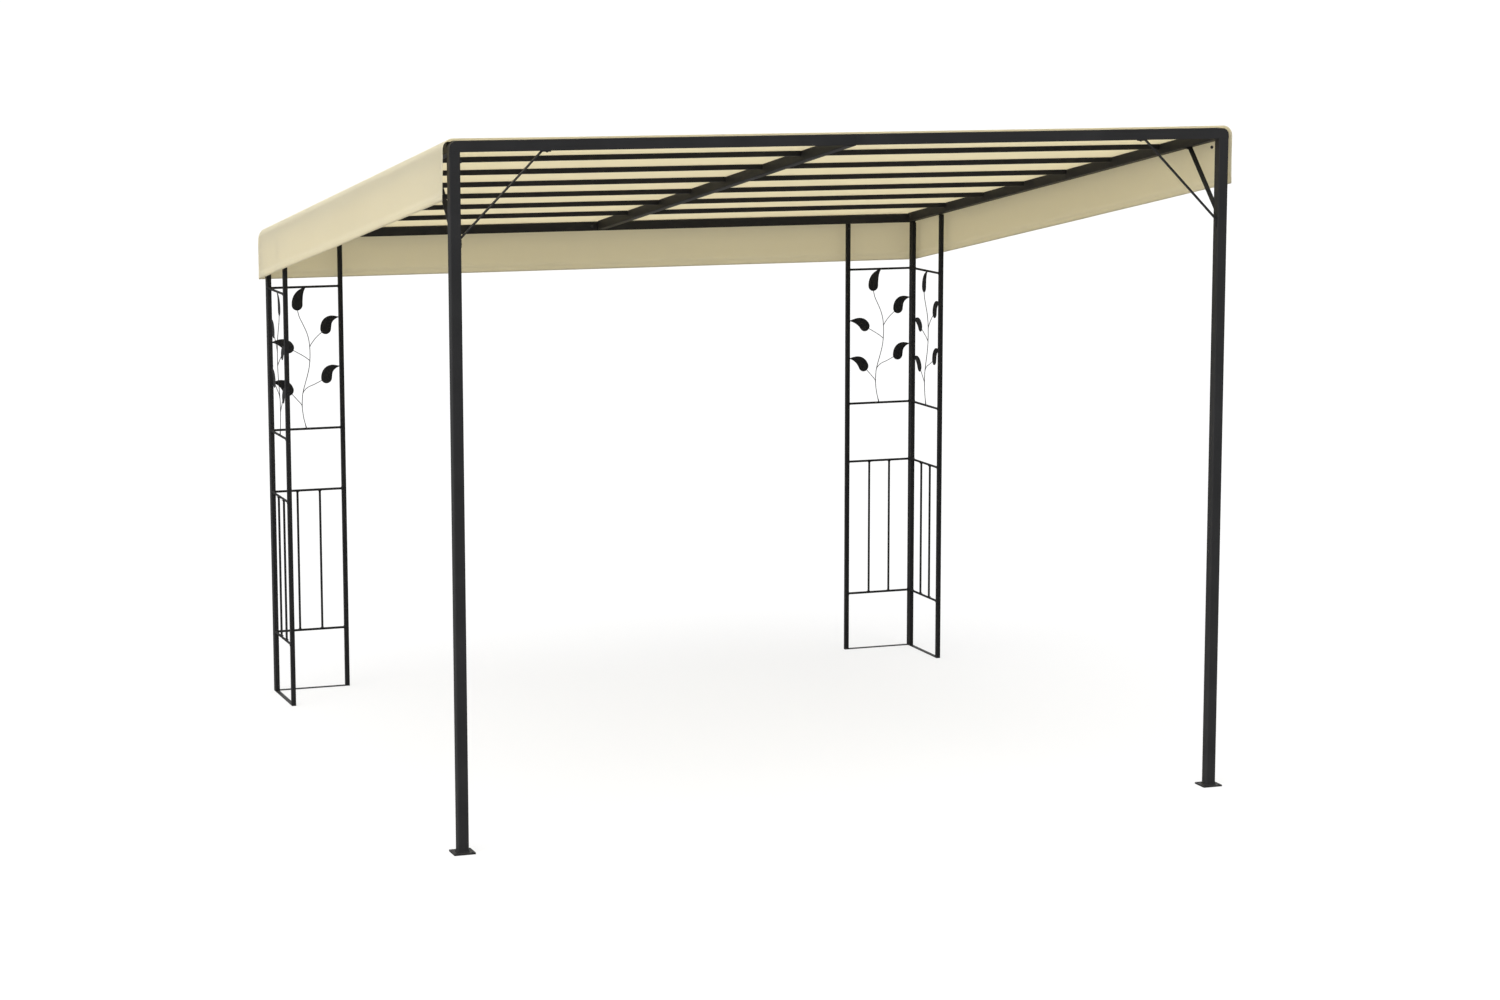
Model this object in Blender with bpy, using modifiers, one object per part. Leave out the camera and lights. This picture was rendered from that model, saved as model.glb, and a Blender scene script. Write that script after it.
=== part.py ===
"""Lean-to garden gazebo: a powder-coated steel frame with a fabric canopy.

Two tall square posts carry the high front beam. Two L-shaped trellis columns,
each of a rear panel and a side panel with a leaf spray above a plain grille,
carry the low rear beam. Side beams, a centre rafter and six lines of purlins
make the sloping roof, which a canopy with three hanging valances covers.

Metres, +Z up, +X to the right along the beams, +Y from the high side to the
low side. The origin is at floor level in the middle of the footprint.
"""
import math

import bmesh
import bpy
from mathutils import Matrix, Vector

# ---------------------------------------------------------------- dimensions
POST_X = 1.460  # post centre to the middle of the gazebo
FRONT_Y = -1.464  # line of the tall posts
REAR_Y = 1.464  # line of the rear trellis panels
TUBE = 0.038  # posts, beams and rafter, square tube
TUBE_WALL = 0.0012
TUBE_ROUND = 0.0025  # outer edge rounding of the square tube
SLEEVE = 0.0348  # inner joint sleeves
PLATE = 0.078  # base plate
PLATE_THICK = 0.005
PLATE_HOLE = 0.0045  # anchor hole radius
PLATE_PITCH = 0.0285
POST_JOINT = 0.941  # height of the joint in each tall post
FRONT_TOP = 2.474  # top of the high beam
CORNER_R = 0.026  # rounded outer corner of the high frame
SLOPE = 0.1708  # roof fall per metre
REAR_TOP = 1.9722  # top of the low beam
GAP = 0.0003

SMALL = 0.018  # purlins and trellis uprights, square tube
SMALL_WALL = 0.001
PURLIN_FIRST = 0.473  # first purlin line, measured in plan from the posts
PURLIN_STEP = 0.406
PURLIN_LINES = 6

BRACE_WIDTH = 0.018
BRACE_THICK = 0.004
BRACE_RUN = 0.294  # 45 degree brace on the high beam
BRACE_SIDE_RUN = 0.231  # 45 degree brace on a side beam

PANEL = 0.310  # upright centre to upright centre
ROD = 0.010  # rungs and grille bars
RUNG_1, RUNG_2, RUNG_3, RUNG_4 = 1.728, 1.124, 0.8606, 0.2566
BAR_1, BAR_2 = 0.108, 0.205  # grille bars, from the upright's centre
STRIP_WIDTH, STRIP_THICK = 0.0174, 0.003
WIRE = 0.0032  # leaf stems
LEAF_THICK = 0.002

CLOTH = 0.002
CANOPY_LIFT = 0.006  # underside of the canopy above the roof line
CANOPY_FRONT = -1.4695
CANOPY_HALF = 1.500  # outer face of the side valances
CANOPY_REAR = 1.5030  # outer face of the rear valance
CANOPY_EDGE_R = 0.037
CANOPY_REAR_REACH = 0.017  # plan length of the bend into the rear valance
VALANCE_DROP = 0.2045  # below the roof line


def roof(y):
    """Height of the top line of the side beams, rafter and purlins."""
    return FRONT_TOP - SLOPE * (y - FRONT_Y)


# ---------------------------------------------------------------- scene set-up
for old in list(bpy.data.objects):
    bpy.data.objects.remove(old, do_unlink=True)


def collection(name):
    made = bpy.data.collections.new(name)
    bpy.context.scene.collection.children.link(made)
    return made


PARTS = collection("lean_to_gazebo")
CUTTERS = collection("cutters")


def material(name, colour, roughness, metallic):
    mat = bpy.data.materials.new(name)
    mat.use_nodes = True
    bsdf = mat.node_tree.nodes["Principled BSDF"]
    bsdf.inputs["Base Color"].default_value = (*colour, 1.0)
    bsdf.inputs["Roughness"].default_value = roughness
    bsdf.inputs["Metallic"].default_value = metallic
    mat.diffuse_color = (*colour, 1.0)
    return mat


STEEL_COLOUR = (0.026, 0.026, 0.028)
CLOTH_COLOUR = (0.74, 0.68, 0.47)


def steel(name):
    return material(name + "_mat", STEEL_COLOUR, 0.48, 0.0)


def cloth(name):
    return material(name + "_mat", CLOTH_COLOUR, 0.85, 0.0)


def link(name, mesh, mat, where=PARTS):
    obj = bpy.data.objects.new(name, mesh)
    where.objects.link(obj)
    if mat is not None:
        obj.data.materials.append(mat)
    return obj


def mesh_from(bm, name):
    mesh = bpy.data.meshes.new(name)
    bm.to_mesh(mesh)
    bm.free()
    return mesh


def evaluated_mesh(obj, weld=0.00001):
    """Evaluated mesh of an object, its caps welded, in world space."""
    deps = bpy.context.evaluated_depsgraph_get()
    mesh = bpy.data.meshes.new_from_object(obj.evaluated_get(deps))
    mesh.transform(obj.matrix_world)
    bm = bmesh.new()
    bm.from_mesh(mesh)
    bmesh.ops.remove_doubles(bm, verts=bm.verts, dist=weld)
    bm.to_mesh(mesh)
    bm.free()
    return mesh


# ---------------------------------------------------------------- square tube
def tube(name, low, high, axis, wall, rounding, shear=0.0, mat=None):
    """Open-ended square tube between two corners, along X, Y or Z.

    shear is the fall per metre of Y, which keeps the ends vertical.
    """
    bm = bmesh.new()
    bmesh.ops.create_cube(bm, size=1.0)
    low, high = Vector(low), Vector(high)
    size, mid = high - low, (high + low) / 2
    bmesh.ops.scale(bm, vec=size, verts=bm.verts)
    bmesh.ops.delete(
        bm, geom=[f for f in bm.faces if abs(f.normal[axis]) > 0.9], context="FACES"
    )
    long_edges = [
        e for e in bm.edges
        if abs((e.verts[0].co - e.verts[1].co)[axis]) > size[axis] * 0.5
    ]
    bmesh.ops.bevel(
        bm, geom=long_edges, offset=rounding, offset_type="OFFSET", segments=1,
        profile=0.5, affect="EDGES",
    )
    for v in bm.verts:
        v.co += mid
        v.co.z -= shear * v.co.y
    obj = link(name, mesh_from(bm, name), mat or steel(name))
    shell = obj.modifiers.new("wall", "SOLIDIFY")
    shell.thickness = wall
    shell.offset = -1.0
    shell.use_even_offset = True
    shell.use_rim = True
    return obj


def frame_tube(name, low, high, axis, shear=0.0):
    return tube(name, low, high, axis, TUBE_WALL, TUBE_ROUND, shear)


def small_tube(name, low, high, axis, shear=0.0):
    return tube(name, low, high, axis, SMALL_WALL, 0.0012, shear)


H = TUBE / 2
S = SMALL / 2
SIDES = (("left", -1), ("right", 1))

# ---------------------------------------------------------------- tall posts
for side, sx in SIDES:
    x = sx * POST_X
    frame_tube(
        f"post_{side}_lower",
        (x - H, FRONT_Y - H, PLATE_THICK + GAP),
        (x + H, FRONT_Y + H, POST_JOINT - GAP), 2,
    )
    frame_tube(
        f"post_{side}_upper",
        (x - H, FRONT_Y - H, POST_JOINT + GAP),
        (x + H, FRONT_Y + H, FRONT_TOP - TUBE - GAP), 2,
    )
    tube(
        f"post_{side}_sleeve",
        (x - SLEEVE / 2, FRONT_Y - SLEEVE / 2, POST_JOINT - 0.075),
        (x + SLEEVE / 2, FRONT_Y + SLEEVE / 2, POST_JOINT + 0.075),
        2, 0.0012, 0.0022,
    )


def base_plate(name, x, y):
    bm = bmesh.new()
    bmesh.ops.create_cube(bm, size=1.0)
    bmesh.ops.scale(bm, vec=(PLATE, PLATE, PLATE_THICK), verts=bm.verts)
    upright = [e for e in bm.edges if abs((e.verts[0].co - e.verts[1].co).z) > 0.001]
    bmesh.ops.bevel(bm, geom=upright, offset=0.004, segments=2, profile=0.5, affect="EDGES")
    obj = link(name, mesh_from(bm, name), steel(name))
    obj.location = (x, y, PLATE_THICK / 2)
    for i, (dx, dy) in enumerate(((-1, -1), (1, -1), (-1, 1), (1, 1))):
        cut = bmesh.new()
        bmesh.ops.create_cone(
            cut, cap_ends=True, segments=12, radius1=PLATE_HOLE, radius2=PLATE_HOLE,
            depth=PLATE_THICK * 4,
        )
        cutter = link(f"{name}_hole_{i}", mesh_from(cut, f"{name}_hole_{i}"), None, CUTTERS)
        cutter.location = (x + dx * PLATE_PITCH, y + dy * PLATE_PITCH, PLATE_THICK / 2)
        cutter.hide_render = True
        cutter.display_type = "WIRE"
        boolean = obj.modifiers.new(f"hole_{i}", "BOOLEAN")
        boolean.operation = "DIFFERENCE"
        boolean.solver = "EXACT"
        boolean.object = cutter
    return obj


for side, sx in SIDES:
    base_plate(f"base_plate_{side}", sx * POST_X, FRONT_Y)


# ---------------------------------------------------------------- high beam
def front_beam(name, sx):
    """Half of the high beam: open at the middle, closed at the outer end,
    whose upper corner is rounded over the post."""
    inner, outer = GAP, POST_X + H
    bm = bmesh.new()
    bmesh.ops.create_cube(bm, size=1.0)
    length = outer - inner
    bmesh.ops.scale(bm, vec=(length, TUBE, TUBE), verts=bm.verts)
    bmesh.ops.translate(
        bm, verts=bm.verts,
        vec=(sx * (inner + length / 2), FRONT_Y, FRONT_TOP - H),
    )
    bmesh.ops.delete(
        bm, geom=[f for f in bm.faces if f.normal.x * sx < -0.9], context="FACES"
    )
    corner = [
        e for e in bm.edges
        if all(v.co.z > FRONT_TOP - 0.001 and v.co.x * sx > outer - 0.001 for v in e.verts)
    ]
    bmesh.ops.bevel(
        bm, geom=corner, offset=CORNER_R, offset_type="OFFSET", segments=6,
        profile=0.5, affect="EDGES",
    )
    bm.normal_update()
    bmesh.ops.recalc_face_normals(bm, faces=bm.faces)
    mid = Vector((sx * 0.7, FRONT_Y, FRONT_TOP - H))
    if sum((f.calc_center_median() - mid).dot(f.normal) for f in bm.faces) < 0:
        bmesh.ops.reverse_faces(bm, faces=bm.faces)
    obj = link(name, mesh_from(bm, name), steel(name))
    shell = obj.modifiers.new("wall", "SOLIDIFY")
    shell.thickness = TUBE_WALL
    shell.offset = -1.0
    shell.use_even_offset = True
    shell.use_rim = True
    return obj


for side, sx in SIDES:
    front_beam(f"front_beam_{side}", sx)
tube(
    "front_beam_sleeve",
    (-0.09, FRONT_Y - SLEEVE / 2, FRONT_TOP - H - SLEEVE / 2),
    (0.09, FRONT_Y + SLEEVE / 2, FRONT_TOP - H + SLEEVE / 2),
    0, 0.0012, 0.0022,
)

# ---------------------------------------------------------------- low beam
for side, sx in SIDES:
    ends = sorted((sx * GAP, sx * (POST_X + H)))
    frame_tube(
        f"rear_beam_{side}",
        (ends[0], REAR_Y - H, REAR_TOP - TUBE), (ends[1], REAR_Y + H, REAR_TOP), 0,
    )
tube(
    "rear_beam_sleeve",
    (-0.09, REAR_Y - SLEEVE / 2, REAR_TOP - H - SLEEVE / 2),
    (0.09, REAR_Y + SLEEVE / 2, REAR_TOP - H + SLEEVE / 2),
    0, 0.0012, 0.0022,
)

# ---------------------------------------------------------------- sloping roof
COS = 1.0 / math.hypot(1.0, SLOPE)
DEEP = TUBE / COS  # upright depth of a sloping beam
LEVEL = FRONT_TOP + SLOPE * FRONT_Y  # roof line carried back to y = 0
ROOF_START, ROOF_END = FRONT_Y + H + GAP, REAR_Y - H - GAP


def sloping(name, x):
    return frame_tube(
        name, (x - H, ROOF_START, LEVEL - DEEP), (x + H, ROOF_END, LEVEL), 1, SLOPE
    )


for side, sx in SIDES:
    sloping(f"side_beam_{side}", sx * POST_X)
sloping("centre_rafter", 0.0)

SMALL_DEEP = SMALL / COS
for side, sx in SIDES:
    ends = sorted((sx * (H + GAP), sx * (POST_X - H - GAP)))
    for i in range(PURLIN_LINES):
        y = FRONT_Y + PURLIN_FIRST + PURLIN_STEP * i
        small_tube(
            f"purlin_{side}_{i + 1}",
            (ends[0], y - S, LEVEL - SMALL_DEEP), (ends[1], y + S, LEVEL), 0, SLOPE,
        )


# ---------------------------------------------------------------- braces
def brace(name, start, end, across):
    """Flat bar from start to end, its wide side along the across axis, with
    its ends cut along the post and the beam."""
    start, end = Vector(start), Vector(end)
    run = 1 - across  # the horizontal axis of the brace
    bm = bmesh.new()
    bmesh.ops.create_cube(bm, size=1.0)
    thick = BRACE_THICK * math.sqrt(2.0) / 2  # half thickness, cut at 45 degrees
    for v in bm.verts:
        at = start if v.co[run] < 0 else end
        side = 1 if v.co.z > 0 else -1
        p = Vector((0, 0, 0))
        p[across] = at[across] + (BRACE_WIDTH / 2) * (1 if v.co[across] > 0 else -1)
        if v.co[run] < 0:  # the end on the post moves along Z
            p[run] = at[run]
            p.z = at.z + side * thick
        else:  # the end on the beam moves along the beam
            sign = 1 if end[run] > start[run] else -1
            p[run] = at[run] - sign * side * thick
            p.z = at.z
            if across == 0:
                p.z = at.z + SLOPE * sign * side * thick
        v.co = p
    bm.normal_update()
    bmesh.ops.recalc_face_normals(bm, faces=bm.faces)
    return link(name, mesh_from(bm, name), steel(name))


for side, sx in SIDES:
    inner = sx * (POST_X - H - GAP)
    under = FRONT_TOP - TUBE - GAP
    brace(
        f"front_brace_{side}",
        (inner, FRONT_Y, under - BRACE_RUN), (inner - sx * BRACE_RUN, FRONT_Y, under), 1,
    )
    y0 = FRONT_Y + H + GAP
    y1 = y0 + BRACE_SIDE_RUN
    top = roof(y1) - DEEP - GAP * 2
    brace(
        f"side_brace_{side}",
        (sx * POST_X, y0, top - BRACE_SIDE_RUN), (sx * POST_X, y1, top), 0,
    )


# ---------------------------------------------------------------- trellis
def rod(start, end, radius, segments=12):
    """Mesh of a round rod with flat ends."""
    start, end = Vector(start), Vector(end)
    axis = end - start
    bm = bmesh.new()
    bmesh.ops.create_cone(
        bm, cap_ends=True, segments=segments, radius1=radius, radius2=radius,
        depth=axis.length,
    )
    turn = axis.to_track_quat("Z", "Y").to_matrix().to_4x4()
    bmesh.ops.transform(
        bm, matrix=Matrix.Translation((start + end) / 2) @ turn, verts=bm.verts
    )
    return mesh_from(bm, "rod")


def smooth(points, steps):
    """Points along a Catmull-Rom curve through the given points."""
    pts = [Vector(p) for p in points]
    pts = [2 * pts[0] - pts[1]] + pts + [2 * pts[-1] - pts[-2]]
    out = []
    for i in range(1, len(pts) - 2):
        a, b, c, d = pts[i - 1:i + 3]
        for k in range(steps):
            t = k / steps
            out.append(
                0.5 * (2 * b + (c - a) * t + (2 * a - 5 * b + 4 * c - d) * t * t
                       + (3 * b - a - 3 * c + d) * t ** 3)
            )
    out.append(pts[-2].copy())
    return out


def wire(points, radius, resolution=1):
    """Mesh of a round wire along a poly line."""
    curve = bpy.data.curves.new("wire", "CURVE")
    curve.dimensions = "3D"
    curve.bevel_depth = radius
    curve.bevel_resolution = resolution
    curve.use_fill_caps = True
    spline = curve.splines.new("POLY")
    spline.points.add(len(points) - 1)
    for p, q in zip(spline.points, points):
        p.co = (*q, 1.0)
    obj = bpy.data.objects.new("wire", curve)
    CUTTERS.objects.link(obj)
    mesh = evaluated_mesh(obj)
    bpy.data.objects.remove(obj, do_unlink=True)
    return mesh


LEAF_PEAK = 0.24  # where along its length a leaf is widest
LEAF_HALF = 0.0232


def leaf_centre(base, tip, bend, t):
    """Point on a leaf's midrib, from its round end at 0 to its tip at 1."""
    base, tip = Vector(base), Vector(tip)
    chord = tip - base
    right = Vector((chord.y, -chord.x)).normalized()
    u = min(max(t, 0.0), 1.0)
    return base + chord * t - right * bend * math.sin(math.pi * u ** 0.8)


def leaf_outline(base, tip, bend, count):
    """Outline of a curved drop-shaped leaf in panel coordinates (x right, y up).

    base is its round end and tip its pointed one; bend bows it to the left of
    the way from base to tip, or to the right where bend is negative.
    """
    base, tip = Vector(base), Vector(tip)
    chord = tip - base
    right = Vector((chord.y, -chord.x)).normalized()
    first = -0.04

    def centre(t):
        return leaf_centre(base, tip, bend, t)

    def half(t):
        if t < LEAF_PEAK:
            s = (LEAF_PEAK - t) / (LEAF_PEAK - first)
            return LEAF_HALF * math.sqrt(max(0.0, 1 - s * s))
        s = (t - LEAF_PEAK) / (1 - LEAF_PEAK)
        return LEAF_HALF * (1 - s ** 1.6) ** 1.1 + 0.0012 * s

    left_side, right_side = [], []
    for k in range(count + 1):
        # closer points at the round end
        t = first + (1 - first) * (0.5 - 0.5 * math.cos(math.pi * k / count))
        left_side.append(centre(t) - right * half(t))
        right_side.append(centre(t) + right * half(t))
    outline = left_side[1:] + right_side[::-1][:-1] + [centre(first)]
    return outline


def leaf(outline, place):
    """Mesh of a flat leaf: a filled 2D curve, placed by a function that takes
    panel coordinates and depth."""
    curve = bpy.data.curves.new("leaf", "CURVE")
    curve.dimensions = "2D"
    curve.fill_mode = "BOTH"
    curve.extrude = LEAF_THICK / 2
    spline = curve.splines.new("POLY")
    spline.points.add(len(outline) - 1)
    for p, q in zip(spline.points, outline):
        p.co = (q.x, q.y, 0.0, 1.0)
    spline.use_cyclic_u = True
    obj = bpy.data.objects.new("leaf", curve)
    CUTTERS.objects.link(obj)
    mesh = evaluated_mesh(obj)
    bpy.data.objects.remove(obj, do_unlink=True)
    for v in mesh.vertices:
        v.co = place(v.co.x, v.co.y, v.co.z)
    return mesh


def unite(name, meshes):
    """One body from overlapping closed meshes."""
    base = None
    for i, mesh in enumerate(meshes):
        bm = bmesh.new()
        bm.from_mesh(mesh)
        bm.normal_update()
        bmesh.ops.recalc_face_normals(bm, faces=bm.faces)
        bm.to_mesh(mesh)
        bm.free()
        if base is None:
            base = link(name, mesh, steel(name))
            continue
        other = link(f"{name}_piece_{i}", mesh, None, CUTTERS)
        other.hide_render = True
        other.display_type = "WIRE"
        boolean = base.modifiers.new(f"join_{i}", "BOOLEAN")
        boolean.operation = "UNION"
        boolean.solver = "EXACT"
        boolean.object = other
    return base


# The spray, in panel coordinates: x from the left upright's inner face, y down
# from the upper rung.
INNER = PANEL - SMALL
STEM = [
    (0.1445, 0.604), (0.133, 0.558), (0.1275, 0.512), (0.129, 0.468), (0.1335, 0.441),
    (0.1435, 0.406), (0.154, 0.370), (0.161, 0.338), (0.1648, 0.300), (0.1648, 0.262),
    (0.161, 0.225), (0.152, 0.192), (0.137, 0.158), (0.122, 0.126), (0.1145, 0.106),
]
BRANCHES = [
    [(0.1645, 0.256), (0.170, 0.245), (0.184, 0.226), (0.199, 0.210), (0.219, 0.194)],
    [(0.1645, 0.318), (0.161, 0.311), (0.140, 0.295), (0.115, 0.280), (0.093, 0.270)],
    [(0.1325, 0.449), (0.138, 0.440), (0.155, 0.426), (0.181, 0.4155), (0.217, 0.402)],
    [(0.1275, 0.512), (0.124, 0.499), (0.109, 0.4815), (0.092, 0.4625), (0.082, 0.451)],
]
LEAVES = [  # round end, tip, bend
    ((0.117, 0.099), (0.1508, 0.001), 0.0115),
    ((0.236, 0.203), (INNER - 0.0017, 0.1325), 0.0215),
    ((0.236, 0.4125), (INNER - 0.0017, 0.3425), 0.0215),
    ((0.083, 0.278), (0.0017, 0.230), -0.0195),
    ((0.077, 0.460), (0.0017, 0.400), -0.0195),
]


def panel(tag, origin, right):
    """Trellis panel. origin is the left upright's inner face at floor level,
    seen from inside the gazebo, and right is the way along the panel."""
    origin, right = Vector(origin), Vector(right)
    up = Vector((0, 0, 1))
    out = right.cross(up)

    def place(x, y, depth=0.0):
        return origin + right * x + up * (RUNG_1 + y) + out * depth

    def rung(z, radius=ROD / 2):
        a = origin + right * GAP + up * z
        b = origin + right * (INNER - GAP) + up * z
        return rod(a, b, radius)

    # leaf spray between the two upper rungs
    # the wires run on into the round ends of their leaves
    roots = [leaf_centre((b[0], -b[1]), (t[0], -t[1]), bend, 0.07) for b, t, bend in LEAVES]
    meshes = [rung(RUNG_1), rung(RUNG_2)]
    stem = smooth([(x, -y, 0) for x, y in STEM], 2) + [Vector((*roots[0], 0))]
    meshes.append(wire([place(p.x, p.y) for p in stem], WIRE / 2))
    for branch, root in zip(BRANCHES, (roots[1], roots[3], roots[2], roots[4])):
        points = [Vector((x, -y)) for x, y in branch[:-1]] + [root]
        meshes.append(wire([place(p.x, p.y) for p in points], WIRE / 2 * 0.94))
    for base, tip, bend in LEAVES:
        outline = leaf_outline((base[0], -base[1]), (tip[0], -tip[1]), bend, 11)
        meshes.append(leaf(outline, place))
    unite(f"{tag}_leaf_spray", meshes)

    # grille: two rungs with two bars between them
    bars = []
    for x in (BAR_1 - S, BAR_2 - S):
        a = origin + right * x + up * (RUNG_4 + 0.001)
        b = origin + right * x + up * (RUNG_3 - 0.001)
        bars.append(rod(a, b, ROD / 2 * 0.97))
    unite(f"{tag}_grille", [rung(RUNG_3), rung(RUNG_4)] + bars)

    # flat strip on the floor
    bm = bmesh.new()
    bmesh.ops.create_cube(bm, size=1.0)
    along = INNER - 2 * GAP
    size = Vector((
        abs(right.x) * along + abs(right.y) * STRIP_WIDTH,
        abs(right.y) * along + abs(right.x) * STRIP_WIDTH,
        STRIP_THICK,
    ))
    bmesh.ops.scale(bm, vec=size, verts=bm.verts)
    strip = link(f"{tag}_foot_strip", mesh_from(bm, f"{tag}_foot_strip"), steel(f"{tag}_foot_strip"))
    strip.location = origin + right * (INNER / 2) + up * (STRIP_THICK / 2)


def upright(name, x, y, top):
    small_tube(name, (x - S, y - S, 0.0), (x + S, y + S, top), 2)


COLUMN_X = POST_X + H - S  # corner uprights line up with the posts' outer faces
SIDE_CORNER_Y = REAR_Y - SMALL - GAP
SIDE_FRONT_Y = SIDE_CORNER_Y - PANEL
UNDER_REAR = REAR_TOP - TUBE - GAP
UNDER_SIDE = roof(SIDE_FRONT_Y + S) - DEEP - GAP
for side, sx in SIDES:
    corner = sx * COLUMN_X
    free = sx * (COLUMN_X - PANEL)
    upright(f"rear_panel_{side}_corner_upright", corner, REAR_Y, UNDER_REAR)
    upright(f"rear_panel_{side}_free_upright", free, REAR_Y, UNDER_REAR)
    upright(f"side_panel_{side}_corner_upright", corner, SIDE_CORNER_Y, UNDER_REAR)
    upright(f"side_panel_{side}_free_upright", corner, SIDE_FRONT_Y, UNDER_SIDE)
    panel(f"rear_panel_{side}", (min(corner, free) + S, REAR_Y, 0), (1, 0, 0))
panel("side_panel_left", (-COLUMN_X, SIDE_FRONT_Y + S, 0), (0, 1, 0))
panel("side_panel_right", (COLUMN_X, SIDE_CORNER_Y - S, 0), (0, -1, 0))


# ---------------------------------------------------------------- canopy
def extrude_outline(name, outline, start, end):
    """Closed solid from a section between two placing functions."""
    bm = bmesh.new()
    a = [bm.verts.new(start(*p)) for p in outline]
    b = [bm.verts.new(end(*p)) for p in outline]
    n = len(outline)
    half = n // 2
    for i in range(n):
        j = (i + 1) % n
        bm.faces.new((a[i], a[j], b[j], b[i]))
    for ring in (a, b):  # the section is a strip, so its ends are closed in quads
        for i in range(half - 1):
            bm.faces.new((ring[i], ring[i + 1], ring[n - 2 - i], ring[n - 1 - i]))
    bm.normal_update()
    bmesh.ops.recalc_face_normals(bm, faces=bm.faces)
    return link(name, mesh_from(bm, name), cloth(name))


def strip_section(path, thickness):
    """Outline of a strip: path is its outer line, thickened to the inside."""
    outer = [Vector(p) for p in path]
    inner = []
    for i, p in enumerate(outer):
        a = outer[max(i - 1, 0)]
        b = outer[min(i + 1, len(outer) - 1)]
        d = (b - a).normalized()
        inner.append(p + Vector((-d.y, d.x)) * -thickness)
    return [tuple(p) for p in outer] + [tuple(p) for p in reversed(inner)]


TOP_OUTER = CANOPY_LIFT + CLOTH  # outer face of the cloth above the roof line
ARC = 6
# top sheet
bend_y = CANOPY_REAR - CANOPY_REAR_REACH
top_front, top_rear = CANOPY_FRONT, bend_y - 0.001
half_flat = CANOPY_HALF - CANOPY_EDGE_R - GAP
bm = bmesh.new()
bmesh.ops.create_cube(bm, size=1.0)
bmesh.ops.scale(bm, vec=(half_flat * 2, top_rear - top_front, CLOTH), verts=bm.verts)
for v in bm.verts:
    v.co.y += (top_rear + top_front) / 2
    v.co.z += LEVEL + CANOPY_LIFT + CLOTH / 2 - SLOPE * v.co.y
link("canopy_top", mesh_from(bm, "canopy_top"), cloth("canopy_top"))

# side valances: an arc from the top sheet to the hanging strip
for side, sx in SIDES:
    path = []
    for k in range(ARC + 1):
        t = math.pi / 2 * k / ARC
        path.append((
            CANOPY_HALF - CANOPY_EDGE_R * (1 - math.sin(t)),
            TOP_OUTER - CANOPY_EDGE_R * (1 - math.cos(t)),
        ))
    path.append((CANOPY_HALF, -VALANCE_DROP))
    section = strip_section(path, CLOTH)
    extrude_outline(
        f"valance_{side}", section,
        lambda x, z, sx=sx: (sx * x, top_front, roof(top_front) + z),
        lambda x, z, sx=sx: (sx * x, top_rear, roof(top_rear) + z),
    )

# rear valance: an arc from the slope of the top sheet to the vertical
fall = math.atan(SLOPE)
rear_r = CANOPY_REAR_REACH / (1 - math.sin(fall))
centre_y = CANOPY_REAR - rear_r
centre_z = roof(bend_y) + TOP_OUTER - rear_r * math.cos(fall)
path = []
for k in range(ARC + 1):
    t = fall + (math.pi / 2 - fall) * k / ARC
    path.append((centre_y + rear_r * math.sin(t), centre_z + rear_r * math.cos(t)))
path.append((CANOPY_REAR, roof(CANOPY_REAR) - VALANCE_DROP))
extrude_outline(
    "valance_rear", strip_section(path, CLOTH),
    lambda y, z: (-CANOPY_HALF, y, z), lambda y, z: (CANOPY_HALF, y, z),
)

# round pieces shade smooth
for obj in PARTS.objects:
    if obj.name.endswith(("_grille", "_leaf_spray")):
        obj.data.shade_smooth()
        obj.data.set_sharp_from_angle(angle=math.radians(40))
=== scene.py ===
"""Looks of the lean-to garden gazebo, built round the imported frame.

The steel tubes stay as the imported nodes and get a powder-coat material. The
canopy is one continuous sewn sheet, and the leaf sprays and grilles are finer
pieces in the places of their nodes. Metres, +Z up, the row frame.
"""

import math

import bmesh
import bpy
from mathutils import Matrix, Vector, noise


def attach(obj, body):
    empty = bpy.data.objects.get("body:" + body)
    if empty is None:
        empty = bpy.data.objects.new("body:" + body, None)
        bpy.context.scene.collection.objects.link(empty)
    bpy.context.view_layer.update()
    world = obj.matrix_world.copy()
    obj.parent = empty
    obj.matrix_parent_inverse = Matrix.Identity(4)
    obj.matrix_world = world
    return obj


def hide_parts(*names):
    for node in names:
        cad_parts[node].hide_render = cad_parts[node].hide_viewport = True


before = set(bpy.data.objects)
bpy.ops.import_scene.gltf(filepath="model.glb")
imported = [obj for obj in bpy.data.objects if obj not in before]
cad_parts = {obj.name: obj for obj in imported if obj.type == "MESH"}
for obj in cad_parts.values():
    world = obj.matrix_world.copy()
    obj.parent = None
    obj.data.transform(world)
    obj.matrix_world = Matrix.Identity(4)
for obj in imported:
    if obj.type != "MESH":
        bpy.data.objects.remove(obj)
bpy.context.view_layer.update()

# ------------------------------------------------------------- dimensions
POST_X, FRONT_Y, REAR_Y = 1.460, -1.464, 1.464
TUBE, SMALL = 0.038, 0.018
H, S = TUBE / 2, SMALL / 2
FRONT_TOP, SLOPE, REAR_TOP = 2.474, 0.1708, 1.9722
COS = 1.0 / math.hypot(1.0, SLOPE)
FALL = math.atan(SLOPE)
DEEP = TUBE / COS
SMALL_DEEP = SMALL / COS
LEVEL = FRONT_TOP + SLOPE * FRONT_Y
PURLIN_FIRST, PURLIN_STEP, PURLIN_LINES = 0.473, 0.406, 6
POST_JOINT = 0.941
GAP = 0.0003

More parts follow.
